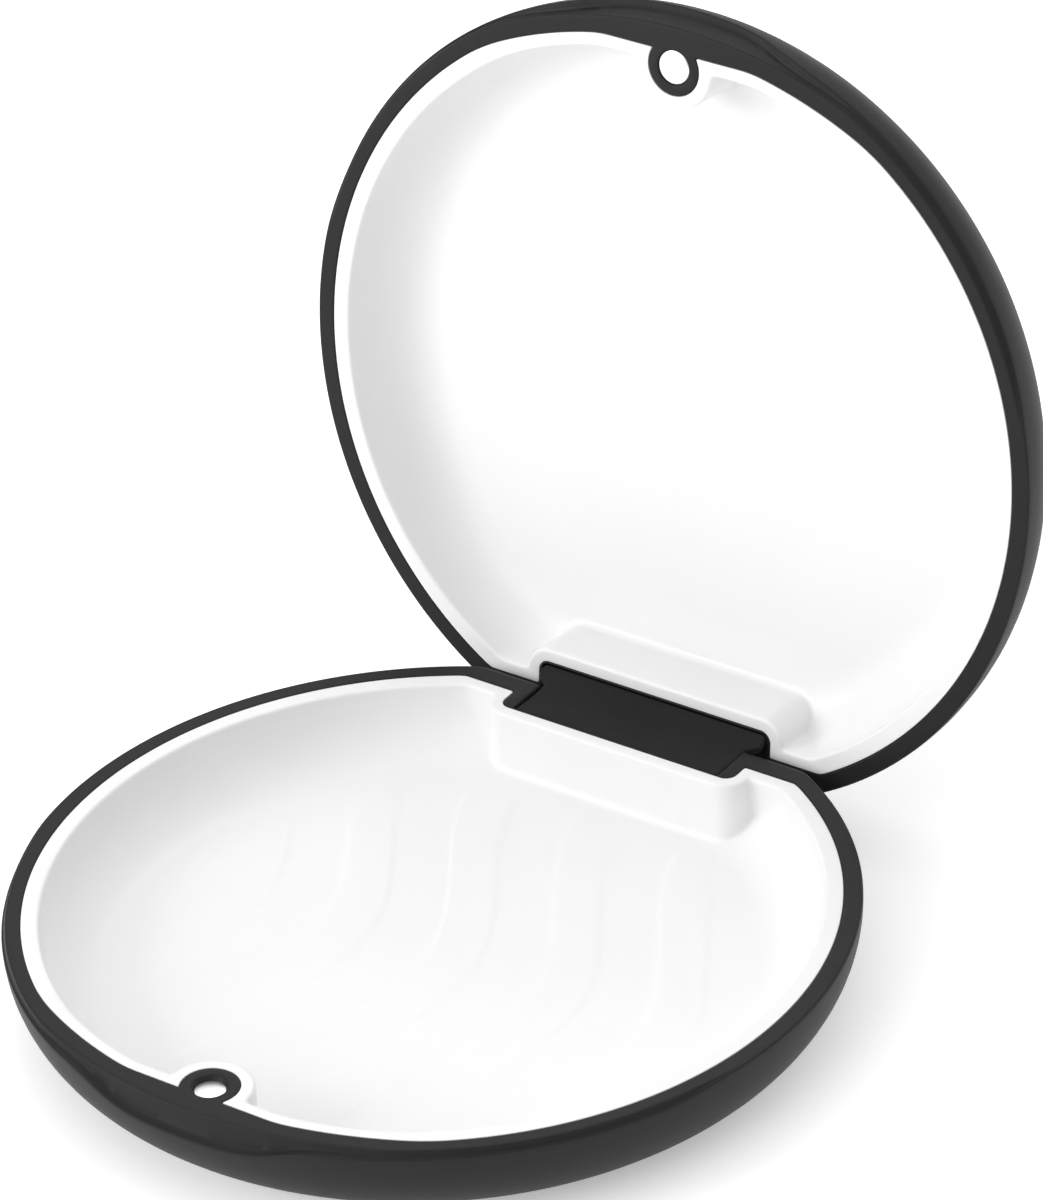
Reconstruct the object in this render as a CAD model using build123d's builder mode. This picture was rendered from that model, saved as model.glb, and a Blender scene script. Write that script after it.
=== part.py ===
from build123d import *
import os
from math import cos, radians, sin, sqrt

# A round hinged case. Both halves are shallow dishes of one outline, each a dark shell with a pale liner.
# The frame stands at the centre of the base's underside: X along the hinge, Y back to the hinge, Z up.
# It is stored as it stands open. Lengths are in millimetres and angles in degrees.

# Outer form of either half
outer_radius = 42.4
half_height = 10.8
edge_drop = 0.57
back_cut = 4.46
back_round = 0.8

# Walls
shell_wall = 1.9
liner_wall = 1.8
collar_wall = 1.4
liner_gap = 0.03

# Back of the rim, where the hinge sits in a recess of the liner
back_wall = 2.84
recess_depth = 5.64
recess_half = 14.1
recess_corner = 1.2
strip_width = 1.2
pocket_depth = 1.8
base_pocket_half = 12.4
lid_pocket_half = 13.7

# Front of the rim, with the finger scoop and the magnet's ear
scoop_bite = 1.35
scoop_radius = 50.1
scoop_depth = 2.5
scoop_flat_half = 4.5
scoop_ramp = 12.0
scoop_end_depth = 0.75
scoop_draft = 10.0
front_band = 1.85
chord_inset = 4.0
ear_inset = 5.6
ear_radius = 2.95
step_width = 0.47
step_depth = 0.5

# Magnets
magnet_radius = 1.8
magnet_thickness = 1.6
magnet_gap = 0.03
base_magnet_sink = 0.5
lid_magnet_sink = 0.1
magnet_lip = 0.3
magnet_edge = 0.15

# Hinge
hinge_inset = 1.29
hinge_drop = 2.7
open_angle = 96.4
closed_gap = 0.1
web_thickness = 0.9
web_top_drop = 0.12
web_dip = 0.4
web_gap = 0.1

# Lengths that follow from the ones above
edge_radius = half_height - edge_drop
flat_radius = outer_radius - edge_radius
rim_radius = flat_radius + sqrt(edge_radius**2 - edge_drop**2)
back_y = outer_radius - back_cut
liner_back_y = back_y - back_wall
recess_y = back_y - recess_depth
strip_y = recess_y + strip_width
scoop_front_y = -(outer_radius - scoop_bite)
front_centre_y = scoop_front_y + scoop_radius
front_liner_radius = scoop_radius - front_band
chord_y = -(outer_radius - chord_inset)
ear_y = -(outer_radius - ear_inset)
hinge_y = back_y - hinge_inset
hinge_z = half_height - hinge_drop
beyond = outer_radius


def swing(y, z):
    """Where a point of the closed lid stands once the lid is opened about the hinge axis."""
    turn = radians(open_angle)
    from_y = y - hinge_y
    from_z = z - hinge_z
    return (
        hinge_y + from_y * cos(turn) + from_z * sin(turn),
        hinge_z - from_y * sin(turn) + from_z * cos(turn),
    )


def lid_point(y, depth):
    """Y and Z of a point of the opened lid, given by its place towards the back and its depth under the rim."""
    return swing(y, half_height + closed_gap + depth)


# Rim planes. On each, X runs along the hinge, Y points at the hinge and Z points out of the dish.
base_rim = Plane.XY.offset(half_height)
lid_rim = Plane(
    origin=(0, *lid_point(0, 0)),
    x_dir=(-1, 0, 0),
    z_dir=(0, -sin(radians(open_angle)), -cos(radians(open_angle))),
)


def section(rim):
    """The upright plane across a half: X as on the rim plane, Y out of the dish, normal to the front."""
    return Plane(origin=rim.origin, x_dir=rim.x_dir, z_dir=-rim.y_dir)


def side(rim):
    """The upright plane through both the magnet and the hinge: X to the back, Y out of the dish."""
    return Plane(origin=rim.origin, x_dir=rim.y_dir, z_dir=rim.x_dir)


def dish(rim, inset):
    """A solid dish: the outer form moved in by inset and cut off at the rim plane."""
    radius = edge_radius - inset
    floor = edge_drop + radius
    halfway = radius * sin(radians(45))
    top = flat_radius + sqrt(radius**2 - edge_drop**2)
    with BuildSketch(section(rim)) as profile:
        with BuildLine():
            Polyline((top, 0), (0, 0), (0, -floor), (flat_radius, -floor))
            ThreePointArc((flat_radius, -floor), (flat_radius + halfway, -edge_drop - halfway), (top, 0))
        make_face()
    revolve(profile.sketch, axis=Axis(rim.origin, rim.z_dir))


def liner_outline(inset):
    """The liner's edge seen square to the rim, moved in by inset: flat at the back with the hinge's recess,
    flatter at the front, and notched round the magnet's ear."""
    Circle(outer_radius)
    with Locations((0, front_centre_y)):
        Circle(front_liner_radius - inset, mode=Mode.INTERSECT)
    with Locations((0, liner_back_y - inset)):
        Rectangle(2 * beyond, beyond, align=(Align.CENTER, Align.MIN), mode=Mode.SUBTRACT)
    with Locations((0, recess_y - inset)):
        Rectangle(2 * (recess_half + inset), beyond, align=(Align.CENTER, Align.MIN), mode=Mode.SUBTRACT)
    with Locations((0, chord_y + inset)):
        Rectangle(2 * beyond, beyond, align=(Align.CENTER, Align.MAX), mode=Mode.SUBTRACT)
    with Locations((0, ear_y)):
        Circle(ear_radius + inset, mode=Mode.SUBTRACT)


def hollow(rim, wall, inset):
    """The space inside a wall: a smaller dish within the liner's outline moved in by inset."""
    with BuildPart() as space:
        dish(rim, wall)
        with BuildSketch(rim) as outline:
            liner_outline(inset)
            recess_side = recess_half + inset + liner_gap
            at_recess = outline.vertices().filter_by_position(Axis.X, -recess_side, recess_side)
            fillet(at_recess.filter_by_position(Axis.Y, 0, outer_radius), recess_corner)
        extrude(amount=-half_height, mode=Mode.INTERSECT)
    return space.part


def scoop(rim):
    """The finger scoop's cutter: a shallow bell across the front edge, outside a slightly drafted wall."""
    ramp_end = scoop_flat_half + scoop_ramp
    ramp_middle = scoop_flat_half + scoop_ramp / 2
    with BuildPart() as cutter:
        with BuildSketch(section(rim)):
            with BuildLine():
                right = Bezier(
                    (scoop_flat_half, -scoop_depth),
                    (ramp_middle, -scoop_depth),
                    (ramp_middle, -scoop_end_depth),
                    (ramp_end, -scoop_end_depth),
                )
                left = Bezier(
                    (-ramp_end, -scoop_end_depth),
                    (-ramp_middle, -scoop_end_depth),
                    (-ramp_middle, -scoop_depth),
                    (-scoop_flat_half, -scoop_depth),
                )
                Line(left @ 1, right @ 0)
                Polyline(right @ 1, (beyond, -step_depth), (beyond, scoop_depth), (-beyond, scoop_depth),
                         (-beyond, -step_depth), left @ 0)
            make_face()
        extrude(amount=2 * beyond)
        with BuildSketch(rim):
            with Locations((0, front_centre_y)):
                Circle(scoop_radius)
        extrude(amount=-2 * scoop_depth, taper=-scoop_draft, mode=Mode.SUBTRACT)
        with BuildSketch(rim):
            with Locations((0, front_centre_y)):
                Circle(scoop_radius)
        extrude(amount=2 * scoop_depth, mode=Mode.SUBTRACT)
    return cutter.part


def shell_form(rim, liner_space, scoop_cutter, pocket_half):
    """A shell: a flat back with a rounded rim edge, the liner's space, the finger scoop, the rim's step
    and the hinge's pocket."""
    dish(rim, 0)
    with BuildSketch(side(rim)) as back:
        with Locations((back_y, 0)):
            Rectangle(2 * beyond + back_cut, half_height, align=(Align.MAX, Align.MAX))
        fillet(back.vertices().group_by(Axis.X)[-1].sort_by(Axis.Y)[-1], back_round)
    extrude(back.sketch, amount=beyond, both=True, mode=Mode.INTERSECT)
    add(liner_space, mode=Mode.SUBTRACT)
    add(scoop_cutter, mode=Mode.SUBTRACT)
    with BuildSketch(rim) as step:
        Circle(outer_radius + step_width)
        with Locations((0, step_width)):
            Circle(rim_radius, mode=Mode.SUBTRACT)
        Rectangle(4 * beyond, 2 * beyond, align=(Align.CENTER, Align.MIN), mode=Mode.SUBTRACT)
    extrude(step.sketch, amount=-step_depth, mode=Mode.SUBTRACT)
    with BuildSketch(rim) as pocket:
        with Locations((0, strip_y)):
            Rectangle(2 * pocket_half, beyond, align=(Align.CENTER, Align.MIN))
    extrude(pocket.sketch, amount=-pocket_depth, mode=Mode.SUBTRACT)


def liner_form(rim, dish_space):
    """A liner that fills its space in the shell but for the gap, hollowed by the dish inside it."""
    add(hollow(rim, shell_wall + liner_gap, liner_gap))
    add(dish_space, mode=Mode.SUBTRACT)



base_scoop = scoop(base_rim)
lid_scoop = scoop(lid_rim)
base_space = hollow(base_rim, shell_wall, 0)
lid_space = hollow(lid_rim, shell_wall, 0)
base_dish = hollow(base_rim, shell_wall + liner_gap + liner_wall, collar_wall)
lid_dish = hollow(lid_rim, shell_wall + liner_gap + liner_wall, collar_wall)


# Base shell: the magnet sits under a lip with a countersunk mouth
with BuildPart() as base_shell:
    shell_form(base_rim, base_space, base_scoop, base_pocket_half)
    with BuildSketch(base_rim.offset(-base_magnet_sink)):
        with Locations((0, ear_y)):
            Circle(magnet_radius + magnet_gap)
    extrude(amount=-magnet_thickness - magnet_gap, mode=Mode.SUBTRACT)
    with BuildSketch(base_rim):
        with Locations((0, ear_y)):
            Circle(magnet_radius)
    with BuildSketch(base_rim.offset(-base_magnet_sink)):
        with Locations((0, ear_y)):
            Circle(magnet_radius - magnet_lip)
    loft(mode=Mode.SUBTRACT)

# Lid shell: the magnet lies in a plain pocket, almost level with the rim
with BuildPart() as lid_shell:
    shell_form(lid_rim, lid_space, lid_scoop, lid_pocket_half)
    with BuildSketch(lid_rim):
        with Locations((0, ear_y)):
            Circle(magnet_radius + magnet_gap)
    extrude(amount=-lid_magnet_sink - magnet_thickness - magnet_gap, mode=Mode.SUBTRACT)

# Liners
with BuildPart() as base_liner:
    liner_form(base_rim, base_dish)

with BuildPart() as lid_liner:
    liner_form(lid_rim, lid_dish)


def magnet(rim, sink):
    """A disc magnet that lies its sink below the rim."""
    with BuildSketch(rim.offset(-sink)) as disc:
        with Locations((0, ear_y)):
            Circle(magnet_radius)
    extrude(disc.sketch, amount=-magnet_thickness)
    chamfer(edges().filter_by(GeomType.CIRCLE), magnet_edge)


with BuildPart() as base_magnet:
    magnet(base_rim, base_magnet_sink)

with BuildPart() as lid_magnet:
    magnet(lid_rim, lid_magnet_sink)

# Hinge web: a soft strip from the base's front strip, over both pockets, to the lid's strip
with BuildPart() as hinge_web:
    base_top = (strip_y, half_height - web_top_drop)
    base_under = (strip_y, half_height - web_top_drop - web_thickness)
    lid_top = lid_point(strip_y, web_top_drop)
    lid_under = lid_point(strip_y, web_top_drop + web_thickness)
    web_low = half_height - web_top_drop - web_dip
    with BuildSketch(Plane.YZ.offset(-lid_pocket_half + web_gap)):
        with BuildLine():
            Line(base_top, base_under)
            Spline(base_under, (hinge_y, web_low - web_thickness), lid_under, tangents=[(1, 0), (0, 1)])
            Line(lid_under, lid_top)
            Spline(lid_top, (hinge_y, web_low), base_top, tangents=[(0, -1), (-1, 0)])
        make_face()
    extrude(amount=2 * (lid_pocket_half - web_gap))
    with BuildSketch(Plane.XY):
        for side in (-1, 1):
            with Locations((side * (base_pocket_half - web_gap), 0)):
                Rectangle(beyond, back_y + web_gap, align=(Align.MIN if side > 0 else Align.MAX, Align.MIN))
    extrude(amount=2 * half_height, mode=Mode.SUBTRACT)

os.makedirs("parts", exist_ok=True)
for name, piece in {
    "base_shell": base_shell,
    "lid_shell": lid_shell,
    "base_liner": base_liner,
    "lid_liner": lid_liner,
    "base_magnet": base_magnet,
    "lid_magnet": lid_magnet,
    "hinge_web": hinge_web,
}.items():
    piece.part.label = name
    export_step(piece.part, f"parts/{name}.step")
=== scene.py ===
from math import atan2, cos, degrees, hypot, radians, sin, sqrt

import bmesh
import bpy
import numpy as np
from mathutils import Matrix, Vector


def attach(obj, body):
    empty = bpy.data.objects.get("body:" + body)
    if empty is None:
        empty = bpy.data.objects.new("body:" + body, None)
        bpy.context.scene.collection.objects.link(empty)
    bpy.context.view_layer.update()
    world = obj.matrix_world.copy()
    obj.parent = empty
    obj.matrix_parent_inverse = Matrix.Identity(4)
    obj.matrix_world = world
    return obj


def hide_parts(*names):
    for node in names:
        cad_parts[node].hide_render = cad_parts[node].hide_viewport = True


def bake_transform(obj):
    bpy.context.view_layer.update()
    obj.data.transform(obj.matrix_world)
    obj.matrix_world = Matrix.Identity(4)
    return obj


# A round hinged case, open. Each half is made in its own frame, in millimetres: the rim is the plane z = 0,
# x runs along the hinge, y points at the hinge, and the dish hangs below. It is then put in its place.
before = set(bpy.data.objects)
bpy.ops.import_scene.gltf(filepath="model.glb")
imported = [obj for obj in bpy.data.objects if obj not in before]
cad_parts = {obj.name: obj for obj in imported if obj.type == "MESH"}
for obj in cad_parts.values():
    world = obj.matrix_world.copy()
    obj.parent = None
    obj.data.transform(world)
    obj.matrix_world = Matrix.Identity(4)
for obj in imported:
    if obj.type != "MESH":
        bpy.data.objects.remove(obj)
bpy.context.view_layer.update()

# Outer form of either half, by the same figures as the part's own
outer_radius = 42.4
half_height = 10.8
edge_drop = 0.57
back_y = 37.94
back_round = 0.8
lip_round = 0.2
outer_corner = 0.4
underside_share = 0.985
edge_radius = half_height - edge_drop
flat_radius = outer_radius - edge_radius
rim_radius = flat_radius + sqrt(edge_radius**2 - edge_drop**2)

# Walls
shell_wall = 1.9
liner_wall = 1.8
collar_wall = 1.4
liner_gap = 0.03
cavity_radius = edge_radius - shell_wall
dish_radius = cavity_radius - liner_gap - liner_wall

# How softly the walls run into each other, and how their top edges are rounded
cavity_corner = 0.25
dish_corner = 0.4
dish_fillet = 0.7
floor_fillet = 0.8
liner_edge_round = 0.32
brim_round = 0.15
brim_middle = 0.044

# Back of the rim
liner_back_y = 35.1
recess_y = 32.3
recess_half = 14.1
recess_corner = 1.2
strip_y = 33.5
pocket_depth = 1.8
base_pocket_half = 12.4
lid_pocket_half = 13.7
pocket_side_round = 0.25
shoulder_round_share = 0.3
back_clearance = 0.16

# Front of the rim
scoop_radius = 50.1
front_centre_y = 9.05
front_liner_radius = 48.25
chord_y = -38.4
ear_y = -36.8
ear_radius = 2.95
scoop_depth = 2.5
scoop_flat_half = 4.5
scoop_ramp = 12.0
scoop_end_depth = 0.75
scoop_fade_start = 8
scoop_fade_length = 10
scoop_points = 41
step_width = 0.47
step_depth = 0.5

# Walls from the rim down to its ledges, where a share is one of the ledge's depth
ledge_least_width = 0.15
front_foot_share = 0.86
front_lean_share = 0.13
back_lean_share = 0.02
front_brow = 0.18
back_brow = 0.03
brow_depth_share = 0.4
hollow_width = 0.04
hollow_depth_share = 0.3
round_middle = 0.3

# Necks, where the rim's lines leave the ear and the recess
neck_half = 2.0
neck_drop = 0.32
neck_share = 0.12
ear_margin = 0.02
recess_margin = 0.1
liner_back_margin = 0.05
shoulder_neck_start = 0.01
shoulder_neck_end = 0.18

# Depths of the rings on the walls, where the rim's rings lie, and how many rings the round parts have
cavity_depths = (1.2, 3.0, 4.6, 6.0, 7.1, 8.0, 8.6, 8.88)
liner_depths = (0.08, 2.0, 4.0, 5.6, 6.9, 7.8, 8.5, 8.86)
outer_depths = (0.027, 0.1, 0.2, 0.35, 0.55, 0.8)
rim_shares = (0.35, 0.7)
liner_rim_rings = ((0.05, 0.02), (0.11, 0.0), (0.4, 0.0), (0.75, 0.0))
edge_rings = 18
dish_rings = 24
banded_floor_rings = 80
flat_floor_rings = 24
floor_middle_radius = 0.4

# Points along the liner's edge
side_points = 136
ear_points = 32
pocket_side_zone = 0.5
corner_clearance = 0.02
flange_bend_share = 0.9

# Magnets, and the mouths of their pockets
magnet_radius = 1.8
magnet_thickness = 1.6
magnet_gap = 0.03
magnet_edge = 0.15
magnet_edge_middle = 0.045
base_magnet_sink = 0.5
lid_magnet_sink = 0.1
magnet_lip = 0.3
lip_slope = 0.01
bore_top = 1
mouth_rise = 0.04
base_mouth_radius = 2.02
base_mouth_bend = (1.78, -0.08)
lid_mouth_radius = 2.03
lid_mouth_bend = (1.86, -0.04)
lid_mouth_depth = 0.12
turned_steps = 72

# Hinge
hinge_y = 36.65
hinge_z = 8.10
open_angle = 96.4
closed_gap = 0.1
flange_width = 0.2
base_slit = 0.06
lid_slit = 0.2
shoulder_y = 36.2

# Hinge web: its section, and the line of its top from the base to the lid
web_thickness = 0.9
web_top_drop = 0.12
web_gap = 0.1
web_seat_depth = 1.1
web_end_round = 0.16
web_corner = 0.5
web_side_round = 0.3
web_side_middle = 0.09
web_flat_run = 0.8
web_flat_drop = 0.02
web_base_y = 34.7
web_base_drop = 0.1
web_dip = 0.1
web_lid_y = 38.4
web_lid_rise = 0.1
web_lid_run = 0.5
web_lid_drop = 0.35
web_line_steps = 10

# Shallow bands across the base's floor, with low steps between them
band_pitch = 12.6
band_rise_at = 6.5
band_height = 0.1
band_step = 0.8
band_turn_x = 5.3
band_turn_y = -3
band_back_swing = 7
band_back_length = 33.7
band_front_bend = 0.0075
band_wall_gap = 1.5
band_recess_gap = 2
band_fade = 2.5

# How rings of points are settled on a form
settle_turns = 40
still_turns = 4
slope_step = 1e-4
least_slope_squared = 0.05
longest_move = 0.5
least_direction = 0.2
least_spacing = 0.03
longest_push = 0.1
push_share = 0.45
start_halvings = 30

# How close points are merged: in millimetres while a piece is drawn, in metres once it is placed
ring_merge = 0.002
turned_merge = 0.001
bore_merge = 0.000004
bore_least_edge = 0.000001


def swing(y, z):
    """Where a point of the closed lid stands once the lid is opened about the hinge axis."""
    turn = radians(open_angle)
    from_y = y - hinge_y
    from_z = z - hinge_z
    opened_y = hinge_y + from_y * cos(turn) + from_z * sin(turn)
    opened_z = hinge_z - from_y * sin(turn) + from_z * cos(turn)
    return opened_y, opened_z


def lid_point(y, depth):
    """Y and Z of a point of the opened lid, by its place towards the back and its depth under the rim."""
    return swing(y, half_height + closed_gap + depth)


# Where each half's own frame stands on the case
metres = Matrix.Scale(0.001, 4)
base_place = metres @ Matrix.Translation((0, 0, half_height))
lid_rim_y, lid_rim_z = lid_point(0, 0)
opened = radians(open_angle)
lid_place = metres @ Matrix((
    (-1, 0, 0, 0),
    (0, cos(opened), -sin(opened), lid_rim_y),
    (0, -sin(opened), -cos(opened), lid_rim_z),
    (0, 0, 0, 1),
))


def gentle(share):
    """A share from 0 to 1 that leaves one end and reaches the other without a kink."""
    return share * share * (3 - 2 * share)


def soft_max(a, b, width):
    """The larger of two forms, with their meeting corner rounded off over a width."""
    near = np.maximum(width - np.abs(a - b), 0) / width
    return np.maximum(a, b) + near * near * width / 4


def reach(depth, radius):
    """How far out a dish with that edge radius comes at a depth below the rim."""
    return flat_radius + np.sqrt(np.maximum(radius**2 - (depth - edge_drop) ** 2, 0))


def rounded(near, radius):
    """How far a rounded edge of that radius stands in, at a distance from its end."""
    rest = np.clip(radius - near, 0, radius)
    return radius - np.sqrt(radius**2 - rest**2)


def liner_plan(ring, radius, inset, corner, fillet):
    """How far points lie outside the liner's edge in plan: a circle with a flat back that has the hinge's
    recess, a flatter front, and a notch round the magnet's ear."""
    x = np.abs(ring[:, 0])
    y = ring[:, 1]
    form = soft_max(np.hypot(x, y) - radius, y - liner_back_y + inset, corner)
    form = soft_max(form, np.hypot(x, y - front_centre_y) - front_liner_radius + inset, corner)
    form = soft_max(form, chord_y + inset - y, corner)
    across = x - (recess_half - recess_corner)
    along = recess_y + recess_corner - y
    past_corner = np.hypot(np.maximum(across, 0), np.maximum(along, 0))
    to_corner = past_corner + np.minimum(np.maximum(across, along), 0)
    form = soft_max(form, recess_corner + inset - to_corner, fillet)
    return soft_max(form, ear_radius + inset - np.hypot(x, y - ear_y), fillet)


def cavity_wall(ring, depth, gap):
    """The wall of the liner's space in the shell at a depth, moved in by a gap."""
    return liner_plan(ring, reach(depth, cavity_radius - gap), gap, cavity_corner, cavity_corner)


def rim_band(ring, inset):
    """The liner's rim, moved in by an inset."""
    return liner_plan(ring, reach(0, cavity_radius) - inset, inset, cavity_corner, cavity_corner)


def dish_wall(ring, depth, grown):
    """The liner's inner wall at a depth, moved out by what its edge is rounded. It runs into the floor in a
    fillet, as it does into the collars of the recess and the ear."""
    foot = rounded(dish_radius + edge_drop - depth, floor_fillet)
    return liner_plan(ring, reach(depth, dish_radius), collar_wall + foot, dish_corner, dish_fillet) - grown


def outer_wall(ring, depth, lip):
    """The shell's outside at a depth, its top edge rounded where the lip is."""
    below = np.maximum(depth - lip, 0)
    back_edge = back_round - (back_round - lip_round) * np.minimum(lip / step_depth, 1)
    flat = ring[:, 1] - back_y + rounded(below, back_edge)
    around_edge = np.hypot(ring[:, 0], ring[:, 1]) - reach(depth, edge_radius) + rounded(below, lip_round)
    return soft_max(around_edge, flat, outer_corner)


def settle(ring, form, *facts):
    """Moves a ring of points square to a form's wall until every point lies on it. Points that crowd or
    cross at a tight corner are moved apart along the wall first, so the ring never folds."""
    for turn in range(settle_turns):
        value = form(ring, *facts)
        slope_x = (form(ring + (slope_step, 0), *facts) - value) / slope_step
        slope_y = (form(ring + (0, slope_step), *facts) - value) / slope_step
        steep = np.maximum(slope_x**2 + slope_y**2, least_slope_squared)
        move = np.clip(value, -longest_move, longest_move) / steep
        ring = ring - np.column_stack([slope_x, slope_y]) * move[:, None]
        if turn >= settle_turns - still_turns:
            continue
        along = np.column_stack([slope_y, -slope_x]) / np.sqrt(steep)[:, None]
        between = along + np.roll(along, -1, axis=0)
        between = between / np.maximum(np.hypot(between[:, 0], between[:, 1]), least_direction)[:, None]
        ahead = np.sum((np.roll(ring, -1, axis=0) - ring) * between, axis=1)
        push = between * (np.clip(least_spacing - ahead, 0, longest_push) * push_share)[:, None]
        ring = ring - push + np.roll(push, 1, axis=0)
    return ring


def sunk(ring, depth):
    """A ring of points in plan, put at a depth below the rim."""
    return np.column_stack([ring, -np.broadcast_to(depth, len(ring))])


def eased(a, b, steps):
    """Points from a towards b, closer together near both ends."""
    share = (1 - np.cos(np.pi * np.arange(steps) / steps)) / 2
    return np.array(a) + np.outer(share, np.array(b) - np.array(a))


def arc(centre, radius, start, end, steps):
    """Points on an arc, its angles in degrees from the x axis."""
    angle = np.radians(start + (end - start) * np.arange(steps) / steps)
    return np.column_stack([centre[0] + radius * np.cos(angle), centre[1] + radius * np.sin(angle)])


def bearing(x, y):
    """The direction of a point, in degrees from the x axis."""
    return degrees(atan2(y, x))


def around(right_half):
    """A whole ring from its right half, which runs from the back centre to the front centre."""
    left_half = right_half[-2:0:-1].copy()
    if left_half.ndim > 1:
        left_half[:, 0] *= -1
    return np.concatenate([right_half, left_half])


# Where the stretches of the liner's edge and of the outer edge meet
liner_radius = reach(0, cavity_radius)
side_y = (liner_radius**2 - front_liner_radius**2 + front_centre_y**2) / (2 * front_centre_y)
side_x = sqrt(liner_radius**2 - side_y**2)
chord_x = sqrt(front_liner_radius**2 - (chord_y - front_centre_y) ** 2)
ear_x = sqrt(ear_radius**2 - (chord_y - ear_y) ** 2)
chord_end_x = sqrt(liner_radius**2 - liner_back_y**2)
flat_end_x = sqrt(rim_radius**2 - back_y**2)


def pocket_round(pocket_half):
    """The rounding of the shoulder beside the hinge's pocket, as far as the shoulder has room for it."""
    return min(pocket_side_round, shoulder_round_share * (recess_half - pocket_half))


def stations(pocket_half):
    """Points on the liner's edge, the outer edge's points that they answer to, and where the ledge between
    them starts: its y at the back, and no number elsewhere, where ledge_start finds it."""
    zone_start = pocket_half - pocket_side_zone
    notch = np.concatenate([
        eased((0, recess_y), (zone_start, recess_y), 22),
        eased((zone_start, recess_y), (pocket_half + pocket_side_zone, recess_y), 24)])
    notch = notch[notch[:, 0] < recess_half - recess_corner - corner_clearance]
    bend = arc((recess_half - recess_corner, recess_y + recess_corner), recess_corner, -90, 0, 28)
    notch = np.concatenate([notch, bend])
    notch_outer = np.column_stack([notch[:, 0], np.full(len(notch), back_y)])
    beside_pocket = notch[:, 0] > pocket_half + pocket_round(pocket_half)
    into_bend = notch[:, 0] - recess_half + recess_corner
    round_bend = np.clip(into_bend, 0, flange_bend_share * recess_corner) / recess_corner
    flange = flange_width / np.sqrt(1 - round_bend**2)
    notch_ledge = np.where(beside_pocket, shoulder_y, notch[:, 1] + flange)

    wall = np.concatenate([
        eased((recess_half, strip_y), (recess_half, liner_back_y), 12),
        eased((recess_half, liner_back_y), (chord_end_x, liner_back_y), 20)])
    share = np.arange(len(wall)) / len(wall)
    wall_outer_x = recess_half + (flat_end_x - recess_half) * share
    wall_outer = np.column_stack([wall_outer_x, np.full(len(wall), back_y)])
    wall_ledge = shoulder_y + (back_y - back_round - back_clearance - shoulder_y) * share

    side_end = bearing(side_x, side_y)
    side = arc((0, 0), liner_radius, bearing(chord_end_x, liner_back_y), side_end, side_points)
    side_outer = arc((0, 0), rim_radius, bearing(flat_end_x, back_y), side_end, side_points)

    front = np.concatenate([
        arc((0, front_centre_y), front_liner_radius, bearing(side_x, side_y - front_centre_y),
            bearing(chord_x, chord_y - front_centre_y), 30),
        eased((chord_x, chord_y), (ear_x, chord_y), 18)])
    front_outer = front * (rim_radius / np.hypot(front[:, 0], front[:, 1]))[:, None]

    ear = np.concatenate([
        arc((0, ear_y), ear_radius, bearing(ear_x, chord_y - ear_y), 90, ear_points),
        [(0.0, ear_y + ear_radius)]])
    ear_end_x = ear_x * rim_radius / hypot(ear_x, chord_y)
    ear_outer_x = ear_end_x * (1 - np.arange(ear_points + 1) / ear_points)
    ear_outer = np.column_stack([ear_outer_x, -np.sqrt(rim_radius**2 - ear_outer_x**2)])

    inner = around(np.concatenate([notch, wall, side, front, ear]))
    outer = around(np.concatenate([notch_outer, wall_outer, side_outer, front_outer, ear_outer]))
    rest = len(side) + len(front) + len(ear)
    ledge = around(np.concatenate([notch_ledge, wall_ledge, np.full(rest, np.nan)]))
    return inner, outer, ledge


def scoop_at(x):
    """The depth of the finger scoop's ledge, a shallow bell across the front. Either side of it is a Bezier
    curve that runs level at both ends."""
    share = np.linspace(0, 1, scoop_points)
    along = scoop_flat_half + scoop_ramp * (1.5 * share * (1 - share) + share**3)
    bell = scoop_depth + (scoop_end_depth - scoop_depth) * gentle(share)
    reach_x = np.concatenate([[0], along, [outer_radius]])
    return np.interp(np.abs(x), reach_x, np.concatenate([[scoop_depth], bell, [step_depth]]))


def ledge_depth(points, pocket_half):
    """How far below the rim the ledge lies: the scoop and the rim's step in front, the hinge's pocket
    behind."""
    fade = np.clip((-points[:, 1] - scoop_fade_start) / scoop_fade_length, 0, 1)
    front = scoop_at(points[:, 0]) * gentle(fade)
    from_side = np.abs(points[:, 0]) - pocket_half
    side_round = pocket_round(pocket_half)
    pocket = np.where(from_side < 0, pocket_depth, rounded(from_side, side_round))
    return np.where(points[:, 1] > 0, np.where(from_side < side_round, pocket, 0), front)


def ledge_start(inner, outer):
    """The share of the way from the liner's edge to the outer edge at which the scoop or the step starts."""
    near = np.zeros(len(inner))
    far = np.ones(len(inner))
    for _ in range(start_halvings):
        middle = (near + far) / 2
        point = inner + (outer - inner) * middle[:, None]
        outside = np.maximum(
            np.hypot(point[:, 0], point[:, 1] - front_centre_y) - scoop_radius,
            np.hypot(point[:, 0], point[:, 1] - step_width) - rim_radius) > 0
        far = np.where(outside, middle, far)
        near = np.where(outside, near, middle)
    return far


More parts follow.
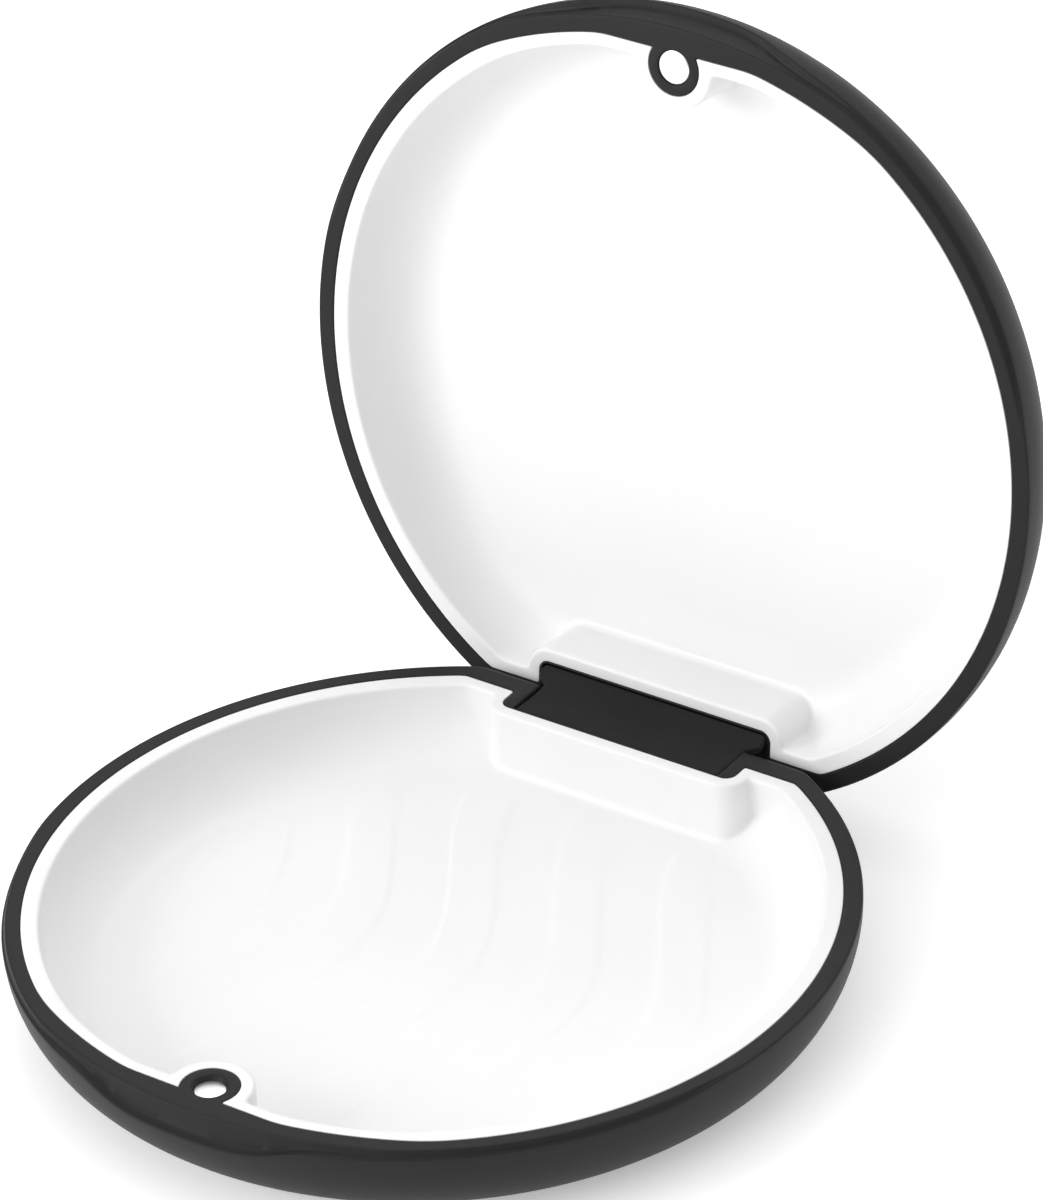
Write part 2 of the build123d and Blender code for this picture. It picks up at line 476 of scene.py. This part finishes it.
def shell_rings(pocket_half):
    """The rings of a shell, from the floor of the liner's space, over the rim, to the underside."""
    inner, outer, ledge_y = stations(pocket_half)
    inner = settle(inner, cavity_wall, 0.0, 0.0)
    lip = ledge_depth(outer, pocket_half)
    along_hinge = outer[:, 0]
    in_pocket = (outer[:, 1] > 0) & (np.abs(along_hinge) < pocket_half)
    outer = settle(outer, outer_wall, lip, lip)
    way = outer - inner
    length = np.hypot(way[:, 0], way[:, 1])
    unit = way / length[:, None]
    behind = ~np.isnan(ledge_y)
    start = np.minimum(ledge_start(inner, outer), 1 - ledge_least_width / length)
    start[behind] = (ledge_y[behind] - inner[behind, 1]) / way[behind, 1]
    edge = inner + way * start[:, None]
    depth = ledge_depth(np.where(behind[:, None], outer, edge), pocket_half)
    depth = np.where(in_pocket, web_seat_depth, depth)
    foot = np.where(behind, depth, depth * front_foot_share)
    lean = np.where(behind, depth * back_lean_share, depth * front_lean_share)[:, None]
    brow = np.where(behind, back_brow, front_brow)
    brow_depth = np.minimum(brow, depth * brow_depth_share)
    hollow = np.minimum(hollow_width, depth * hollow_depth_share)
    rows = []
    cavity = inner
    for deep in cavity_depths:
        cavity = settle(cavity, cavity_wall, deep, 0.0)
        rows.insert(0, sunk(cavity, deep))
    rows.append(sunk(inner, brim_round))
    rows.append(sunk(settle(inner, cavity_wall, 0.0, -brim_middle), brim_middle))
    brim = settle(inner, cavity_wall, 0.0, -brim_round)
    rows.append(sunk(brim, 0))
    # The rim's lines out of the ear and out of the recess first gather in their necks, so that none crosses
    # the liner's edge
    far_rim = edge - unit * brow[:, None]
    neck = brim + (far_rim - brim) * neck_share
    in_ear = np.hypot(inner[:, 0], inner[:, 1] - ear_y) < ear_radius + ear_margin
    neck[in_ear, 0] = neck_half * outer[in_ear, 0] / np.abs(outer[in_ear, 0]).max()
    neck[in_ear, 1] = chord_y - neck_drop
    beside = pocket_half + pocket_round(pocket_half)
    shoulder = behind & (np.abs(along_hinge) > beside) & (inner[:, 1] < liner_back_y - liner_back_margin)
    shoulder &= np.abs(inner[:, 0]) < recess_half + recess_margin
    share = (np.abs(along_hinge[shoulder]) - beside) / (np.abs(along_hinge[shoulder]).max() - beside)
    from_middle = beside + shoulder_neck_start + share * (recess_half - shoulder_neck_end - beside)
    neck[shoulder, 0] = np.sign(along_hinge[shoulder]) * from_middle
    neck[shoulder, 1] = liner_back_y + neck_drop
    rows.append(sunk(neck, 0))
    for share in rim_shares:
        rows.append(sunk(neck + (far_rim - neck) * share, 0))
    rows.append(sunk(far_rim, 0))
    rows.append(sunk(edge - unit * (brow * round_middle)[:, None], brow_depth * round_middle))
    rows.append(sunk(edge, brow_depth))
    rows.append(sunk(edge + unit * lean, foot - hollow))
    ledge = edge + unit * (lean + hollow[:, None])
    rows.append(sunk(ledge, foot))
    rows.append(sunk((ledge + outer) / 2, (foot + lip) / 2))
    rows.append(sunk(outer, lip))
    wall = outer
    for below in outer_depths:
        deep = lip + below
        wall = settle(wall, outer_wall, deep, lip)
        rows.append(sunk(wall, deep))
    first = np.arcsin((lip + outer_depths[-1] - edge_drop) / edge_radius)
    for share in np.linspace(0, 1, edge_rings + 1)[1:]:
        deep = edge_drop + edge_radius * np.sin(first + (np.pi / 2 - first) * share)
        wall = settle(wall, outer_wall, deep, lip)
        rows.append(sunk(wall, deep))
    rows.append(sunk(wall * underside_share, half_height))
    return rows


def banded_floor(points):
    """How high the base's floor stands at points: low bands that swing across it in a long curve."""
    swung = points[:, 1] - band_turn_y
    back_x = band_turn_x - band_back_swing * (1 - np.cos(np.pi * swung / band_back_length))
    front_x = band_turn_x - band_front_bend * swung**2
    across = (points[:, 0] - np.where(swung > 0, back_x, front_x)) % band_pitch
    rise = np.clip((across - band_rise_at) / band_step + 0.5, 0, 1)
    fall = np.clip((band_pitch - across) / band_step, 0, 1)
    to_wall = flat_radius - band_wall_gap - np.hypot(points[:, 0], points[:, 1])
    to_recess = recess_y - collar_wall - band_recess_gap - points[:, 1]
    off_wall = np.clip(to_wall / band_fade, 0, 1)
    off_recess = np.clip(to_recess / band_fade, 0, 1)
    return band_height * gentle(rise) * gentle(fall) * off_wall * off_recess


def flat_floor(points):
    """The lid's floor, which is level all over."""
    return np.zeros(len(points))


def liner_rings(pocket_half, floor_height, floor_rings):
    """The rings of a liner, from its underside, over its rim, down its inner wall and over its floor."""
    ring = settle(stations(pocket_half)[0], cavity_wall, 0.0, liner_gap)
    rows = []
    under = ring
    for deep in liner_depths:
        under = settle(under, cavity_wall, deep, liner_gap)
        rows.insert(0, sunk(under, deep))
    for inset, deep in liner_rim_rings:
        ring = settle(ring, rim_band, inset)
        rows.append(sunk(ring, deep))
    for slope in (0, 30, 60):
        grown = liner_edge_round * (1 - sin(radians(slope)))
        deep = liner_edge_round * (1 - cos(radians(slope)))
        ring = settle(ring, dish_wall, deep, grown)
        rows.append(sunk(ring, deep))
    floor_depth = dish_radius + edge_drop
    first = np.arcsin((liner_edge_round - edge_drop) / dish_radius)
    for share in np.linspace(0, 1, dish_rings + 1):
        deep = edge_drop + dish_radius * np.sin(first + (np.pi / 2 - first) * share)
        ring = settle(ring, dish_wall, deep, 0.0)
        rows.append(sunk(ring, deep))
    centre = ring / np.hypot(ring[:, 0], ring[:, 1])[:, None] * floor_middle_radius
    for share in np.linspace(0, 1, floor_rings + 1)[1:]:
        points = ring + (centre - ring) * share
        rows.append(sunk(points, floor_depth - floor_height(points)))
    return rows


def skin(name, rings, place):
    """A closed piece, drawn out ring by ring and closed at both ends."""
    bm = bmesh.new()
    verts = bmesh.ops.create_circle(bm, segments=len(rings[0]), radius=1.0)["verts"]
    edges = [bm.edges.get((vert, verts[n - 1])) for n, vert in enumerate(verts)]
    bmesh.ops.edgeloop_fill(bm, edges=edges)
    for vert, point in zip(verts, rings[0]):
        vert.co = point
    for ring in rings[1:]:
        drawn = bmesh.ops.extrude_edge_only(bm, edges=edges)["geom"]
        fresh = {part for part in drawn if isinstance(part, bmesh.types.BMVert)}
        verts = [next(edge.other_vert(vert) for edge in vert.link_edges if edge.other_vert(vert) in fresh)
                 for vert in verts]
        for vert, point in zip(verts, ring):
            vert.co = point
        edges = [bm.edges.get((vert, verts[n - 1])) for n, vert in enumerate(verts)]
    bmesh.ops.edgeloop_fill(bm, edges=edges)
    bmesh.ops.remove_doubles(bm, verts=bm.verts[:], dist=ring_merge)
    bmesh.ops.recalc_face_normals(bm, faces=bm.faces[:])
    return finished(name, bm, place)


def finished(name, bm, place):
    """A smooth-shaded object from a bmesh, put in its place."""
    mesh = bpy.data.meshes.new(name)
    bm.transform(place)
    bm.to_mesh(mesh)
    bm.free()
    mesh.polygons.foreach_set("use_smooth", [True] * len(mesh.polygons))
    piece = bpy.data.objects.new(name, mesh)
    bpy.context.scene.collection.objects.link(piece)
    return piece


def turned(name, profile, place):
    """A round solid spun from a profile of radii and heights about the magnet's axis."""
    bm = bmesh.new()
    verts = [bm.verts.new((radius, ear_y, height)) for radius, height in profile]
    edges = [bm.edges.new(pair) for pair in zip(verts, verts[1:])]
    bmesh.ops.spin(bm, geom=verts + edges, cent=(0, ear_y, 0), axis=(0, 0, 1), angle=2 * np.pi,
                   steps=turned_steps, use_merge=True)
    bmesh.ops.remove_doubles(bm, verts=bm.verts[:], dist=turned_merge)
    bmesh.ops.recalc_face_normals(bm, faces=bm.faces[:])
    return finished(name, bm, place)


def bored(piece, mouth, sink, place):
    """Cuts a magnet's pocket into a shell: the mouth, from just above the rim down, and a straight bore
    below it. Points that the cut leaves on top of each other are merged."""
    pocket_radius = magnet_radius + magnet_gap
    pocket_floor = -sink - magnet_thickness - magnet_gap
    top = (mouth[0][0], bore_top)
    profile = [(0, bore_top), top, *mouth, (pocket_radius, pocket_floor), (0, pocket_floor)]
    cutter = turned("bore", profile, place)
    cut = piece.modifiers.new("bore", "BOOLEAN")
    cut.operation = "DIFFERENCE"
    cut.solver = "EXACT"
    cut.object = cutter
    bpy.context.view_layer.update()
    shaped = bpy.data.meshes.new_from_object(piece.evaluated_get(bpy.context.evaluated_depsgraph_get()))
    bm = bmesh.new()
    bm.from_mesh(shaped)
    bmesh.ops.remove_doubles(bm, verts=bm.verts[:], dist=bore_merge)
    bmesh.ops.dissolve_degenerate(bm, edges=bm.edges[:], dist=bore_least_edge)
    bm.to_mesh(shaped)
    bm.free()
    piece.modifiers.clear()
    piece.data = shaped
    bpy.data.objects.remove(cutter)


def magnet(name, sink, place):
    """A disc magnet with softly broken edges, lying its sink below the rim."""
    top = -sink
    low = -sink - magnet_thickness
    face_radius = magnet_radius - magnet_edge
    bend_radius = magnet_radius - magnet_edge_middle
    return turned(name, [
        (0, top), (face_radius, top), (bend_radius, top - magnet_edge_middle),
        (magnet_radius, top - magnet_edge), (magnet_radius, low + magnet_edge),
        (bend_radius, low + magnet_edge_middle), (face_radius, low), (0, low)], place)


def smooth_line(points, steps):
    """A smooth line through points, by the Catmull-Rom rule."""
    points = [np.array(point, float) for point in points]
    points = [2 * points[0] - points[1]] + points + [2 * points[-1] - points[-2]]
    line = []
    for a, b, c, d in zip(points, points[1:], points[2:], points[3:]):
        for t in np.arange(steps) / steps:
            line.append(0.5 * (2 * b + (c - a) * t + (2 * a - 5 * b + 4 * c - d) * t**2
                               + (3 * b - a - 3 * c + d) * t**3))
    line.append(points[-2])
    return np.array(line)


def web_rings():
    """The rings of the hinge web: a flat band with rounded ends and sides. It lies nearly level on the base,
    and spans the hinge nearly straight to the lid's recess."""
    top = half_height - web_top_drop
    base_end_y = recess_y + flange_width + base_slit
    lid_end_y = recess_y + flange_width + lid_slit
    end_y, end_z = lid_point(lid_end_y, web_top_drop)
    line = smooth_line([
        (base_end_y, top), (base_end_y + web_flat_run, top - web_flat_drop),
        (web_base_y, top - web_base_drop), (hinge_y, top - web_dip), (web_lid_y, top + web_lid_rise),
        (end_y - web_lid_run, end_z - web_lid_drop), (end_y, end_z)], web_line_steps)
    ahead = np.gradient(line, axis=0)
    ahead = ahead / np.hypot(ahead[:, 0], ahead[:, 1])[:, None]
    # Drops below the top and insets, down a side whose two edges are rounded
    section = (
        (0, web_side_round), (web_side_middle, web_side_middle), (web_side_round, 0),
        (web_thickness - web_side_round, 0), (web_thickness - web_side_middle, web_side_middle),
        (web_thickness, web_side_round))
    rows = []
    for (y, z), (ahead_y, ahead_z) in zip(line, ahead):
        share = min(max(y - back_y, 0), 1)
        half = base_pocket_half - web_gap + (lid_pocket_half - base_pocket_half) * gentle(share)
        from_end = min(hypot(y - line[0][0], z - line[0][1]), hypot(y - line[-1][0], z - line[-1][1]))
        half -= rounded(from_end, web_corner)
        thin = rounded(from_end, web_end_round)
        ring = []
        for side in (1, -1):
            for drop, inset in section:
                if side < 0:
                    drop = web_thickness - drop
                drop = thin + drop * (1 - 2 * thin / web_thickness)
                ring.append((side * (half - inset), y + ahead_z * drop, z - ahead_y * drop))
        rows.append(np.array(ring))
    return rows


base_shell = skin("base_shell_dark", shell_rings(base_pocket_half), base_place)
lid_shell = skin("lid_shell_dark", shell_rings(lid_pocket_half), lid_place)
base_liner = skin(
    "base_liner_white", liner_rings(base_pocket_half, banded_floor, banded_floor_rings), base_place)
lid_liner = skin("lid_liner_white", liner_rings(lid_pocket_half, flat_floor, flat_floor_rings), lid_place)

# The base's mouth is a countersink over a lip that holds the magnet, and the lid's is only an eased edge
base_mouth = [
    (base_mouth_radius, mouth_rise), base_mouth_bend, (magnet_radius - magnet_lip, -base_magnet_sink),
    (magnet_radius + magnet_gap, -base_magnet_sink - lip_slope)]
lid_mouth = [
    (lid_mouth_radius, mouth_rise), lid_mouth_bend, (magnet_radius + magnet_gap, -lid_mouth_depth)]
bored(base_shell, base_mouth, base_magnet_sink, base_place)
bored(lid_shell, lid_mouth, lid_magnet_sink, lid_place)

base_magnet = magnet("base_magnet_disc", base_magnet_sink, base_place)
lid_magnet = magnet("lid_magnet_disc", lid_magnet_sink, lid_place)
hinge_web = skin("hinge_web_band", web_rings(), metres)


def crisp(piece, angle=50):
    """Keeps a piece's real edges sharp and its flat faces flat in the shading."""
    piece.data.set_sharp_from_angle(angle=radians(angle))
    piece.modifiers.new("flats", "WEIGHTED_NORMAL").keep_sharp = True


def painted(piece, material):
    """Gives a piece its only material."""
    piece.data.materials.clear()
    piece.data.materials.append(material)


def new_material(name):
    """A material with its shader ready, and what its nodes hang on."""
    material = bpy.data.materials.new(name)
    material.use_nodes = True
    nodes = material.node_tree.nodes
    shader = nodes["Principled BSDF"]
    return material, nodes, material.node_tree.links, shader


def noise(nodes, links, coords, scale, detail, roughness=0.55):
    """A noise pattern on a piece's own coordinates."""
    node = nodes.new("ShaderNodeTexNoise")
    node.inputs["Scale"].default_value = scale
    node.inputs["Detail"].default_value = detail
    node.inputs["Roughness"].default_value = roughness
    links.new(coords.outputs["Object"], node.inputs["Vector"])
    return node


def ramp(nodes, links, source, stops):
    """Colours or greys spread over a pattern's values."""
    node = nodes.new("ShaderNodeValToRGB")
    while len(node.color_ramp.elements) < len(stops):
        node.color_ramp.elements.new(0.5)
    for element, (place, colour) in zip(node.color_ramp.elements, stops):
        element.position = place
        element.color = (*colour, 1) if isinstance(colour, tuple) else (colour, colour, colour, 1)
    links.new(source, node.inputs["Fac"])
    return node


def bump(nodes, links, shader, source, strength, distance):
    """A relief from a pattern, its depth in metres."""
    node = nodes.new("ShaderNodeBump")
    node.inputs["Strength"].default_value = strength
    node.inputs["Distance"].default_value = distance
    links.new(source, node.inputs["Height"])
    links.new(node.outputs["Normal"], shader.inputs["Normal"])


def matte_plastic(name, dark, light, grain=9000, depth=0.000012, rough=0.42, level=0.3):
    """Dark moulded plastic with a fine spark-eroded grain, a little cloudy in tone and gloss."""
    material, nodes, links, shader = new_material(name)
    coords = nodes.new("ShaderNodeTexCoord")
    cloud = noise(nodes, links, coords, 70, 4)
    tone = ramp(nodes, links, cloud.outputs["Fac"], [(0.3, dark), (0.7, light)])
    links.new(tone.outputs["Color"], shader.inputs["Base Color"])
    gloss = ramp(nodes, links, cloud.outputs["Fac"], [(0.25, rough - 0.03), (0.75, rough + 0.04)])
    links.new(gloss.outputs["Color"], shader.inputs["Roughness"])
    shader.inputs["Specular IOR Level"].default_value = level
    fine = noise(nodes, links, coords, grain, 2, 0.6)
    bump(nodes, links, shader, fine.outputs["Fac"], 0.5, depth)
    return material


def gloss_plastic(name):
    """White glossy plastic, very slightly uneven as moulded."""
    material, nodes, links, shader = new_material(name)
    coords = nodes.new("ShaderNodeTexCoord")
    cloud = noise(nodes, links, coords, 45, 3)
    tone = ramp(nodes, links, cloud.outputs["Fac"], [(0.3, (0.81, 0.81, 0.81)), (0.7, (0.83, 0.83, 0.83))])
    links.new(tone.outputs["Color"], shader.inputs["Base Color"])
    gloss = ramp(nodes, links, cloud.outputs["Fac"], [(0.3, 0.3), (0.7, 0.36)])
    links.new(gloss.outputs["Color"], shader.inputs["Roughness"])
    shader.inputs["Specular IOR Level"].default_value = 0.4
    orange = noise(nodes, links, coords, 900, 2)
    bump(nodes, links, shader, orange.outputs["Fac"], 0.25, 0.00001)
    return material


def plated_metal(name):
    """Nickel plate, a little cloudy in tone and gloss."""
    material, nodes, links, shader = new_material(name)
    coords = nodes.new("ShaderNodeTexCoord")
    cloud = noise(nodes, links, coords, 400, 3)
    tone = ramp(nodes, links, cloud.outputs["Fac"], [(0.3, (0.86, 0.86, 0.86)), (0.7, (0.92, 0.92, 0.92))])
    links.new(tone.outputs["Color"], shader.inputs["Base Color"])
    gloss = ramp(nodes, links, cloud.outputs["Fac"], [(0.3, 0.28), (0.7, 0.36)])
    links.new(gloss.outputs["Color"], shader.inputs["Roughness"])
    shader.inputs["Metallic"].default_value = 1.0
    bump(nodes, links, shader, cloud.outputs["Fac"], 0.1, 0.000005)
    return material


dark_plastic = matte_plastic("dark_matte_plastic", (0.0095, 0.0095, 0.01), (0.0125, 0.0125, 0.013),
                             rough=0.5, level=0.22)
web_rubber = matte_plastic("dark_soft_rubber", (0.0165, 0.0165, 0.017), (0.0205, 0.0205, 0.021),
                           grain=6000, depth=0.00002, rough=0.6, level=0.08)
white_plastic = gloss_plastic("white_gloss_plastic")
nickel = plated_metal("nickel_plate")

# A CAD node isn't shown, but it has the finish of the piece that stands for it
for piece, body, node, material, slot in (
    (base_shell, "base", "base_shell", dark_plastic, "shell"),
    (lid_shell, "lid", "lid_shell", dark_plastic, "shell"),
    (base_liner, "base", "base_liner", white_plastic, "liner"),
    (lid_liner, "lid", "lid_liner", white_plastic, "liner"),
    (base_magnet, "base", "base_magnet", nickel, "magnet"),
    (lid_magnet, "lid", "lid_magnet", nickel, "magnet"),
    (hinge_web, None, "hinge_web", web_rubber, "web"),
):
    crisp(piece)
    painted(piece, material)
    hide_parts(node)
    if body:
        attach(piece, body)
    painted(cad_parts[node], material)

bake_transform(hinge_web)

# Floor
bm = bmesh.new()
bmesh.ops.create_grid(bm, x_segments=2, y_segments=2, size=3.0)
floor = finished("studio_floor", bm, Matrix.Identity(4))
floor_material, _, _, floor_shader = new_material("pale_floor")
floor_shader.inputs["Base Color"].default_value = (0.9, 0.9, 0.9, 1)
floor_shader.inputs["Roughness"].default_value = 0.9
floor_shader.inputs["Specular IOR Level"].default_value = 0.0
floor_shader.inputs["Emission Color"].default_value = (1, 1, 1, 1)
floor_shader.inputs["Emission Strength"].default_value = 0.35
painted(floor, floor_material)


def soft_light(name, place, power, aim=(0, 0, 0.03), size=0.6):
    """A square studio light that looks at the case."""
    light = bpy.data.lights.new(name, "AREA")
    light.size = size
    light.energy = power
    lamp = bpy.data.objects.new(name, light)
    lamp.location = place
    lamp.rotation_mode = "QUATERNION"
    lamp.rotation_quaternion = (Vector(aim) - Vector(place)).to_track_quat("-Z", "Y")
    bpy.context.scene.collection.objects.link(lamp)


soft_light("front_left_light", (-0.75, -0.9, 0.5), 6.8)
soft_light("front_light", (-0.1, -1.05, 0.6), 3.1)
soft_light("back_light", (-0.4, 0.6, 1.0), 1.2)


def white_room(brightest, strength):
    """A white room, brightest on one side and falling off evenly to the other."""
    world = bpy.data.worlds.new("white_room")
    world.use_nodes = True
    nodes = world.node_tree.nodes
    links = world.node_tree.links
    way = nodes.new("ShaderNodeTexCoord")
    toward = nodes.new("ShaderNodeVectorMath")
    toward.operation = "DOT_PRODUCT"
    toward.inputs[1].default_value = Vector(brightest).normalized()
    links.new(way.outputs["Generated"], toward.inputs[0])
    half = nodes.new("ShaderNodeMath")
    half.operation = "MULTIPLY_ADD"
    half.inputs[1].default_value = 0.5
    half.inputs[2].default_value = 0.5
    links.new(toward.outputs["Value"], half.inputs[0])
    falling = nodes.new("ShaderNodeMath")
    falling.operation = "POWER"
    falling.inputs[1].default_value = 2.0
    links.new(half.outputs["Value"], falling.inputs[0])
    scaled = nodes.new("ShaderNodeMath")
    scaled.operation = "MULTIPLY"
    scaled.inputs[1].default_value = strength
    links.new(falling.outputs["Value"], scaled.inputs[0])
    nodes["Background"].inputs["Color"].default_value = (1, 1, 1, 1)
    links.new(scaled.outputs["Value"], nodes["Background"].inputs["Strength"])
    bpy.context.scene.world = world


white_room((0.0, 0.35, 0.94), 1.31)
bpy.context.scene.view_settings.view_transform = "Standard"
bpy.context.scene.view_settings.look = "None"

# Camera at the photograph's place, with the focal length that fits its 1043 by 1200 frame
camera_data = bpy.data.cameras.new("camera")
camera_data.sensor_fit = "AUTO"
camera_data.sensor_width = 36.0
camera_data.lens = 209.015
camera_data.clip_start = 0.01
camera_data.clip_end = 20.0
camera_data.dof.use_dof = False
camera = bpy.data.objects.new("camera", camera_data)
camera_right = Vector((0.82640, 0.56137, -0.04380))
camera_up = Vector((-0.26560, 0.45722, 0.84876))
camera_back = Vector((0.49650, -0.68979, 0.52695))
camera.matrix_world = Matrix.Translation((0.33959, -0.45411, 0.39606)) @ Matrix(
    (camera_right, camera_up, camera_back)).transposed().to_4x4()
bpy.context.scene.collection.objects.link(camera)
bpy.context.scene.camera = camera
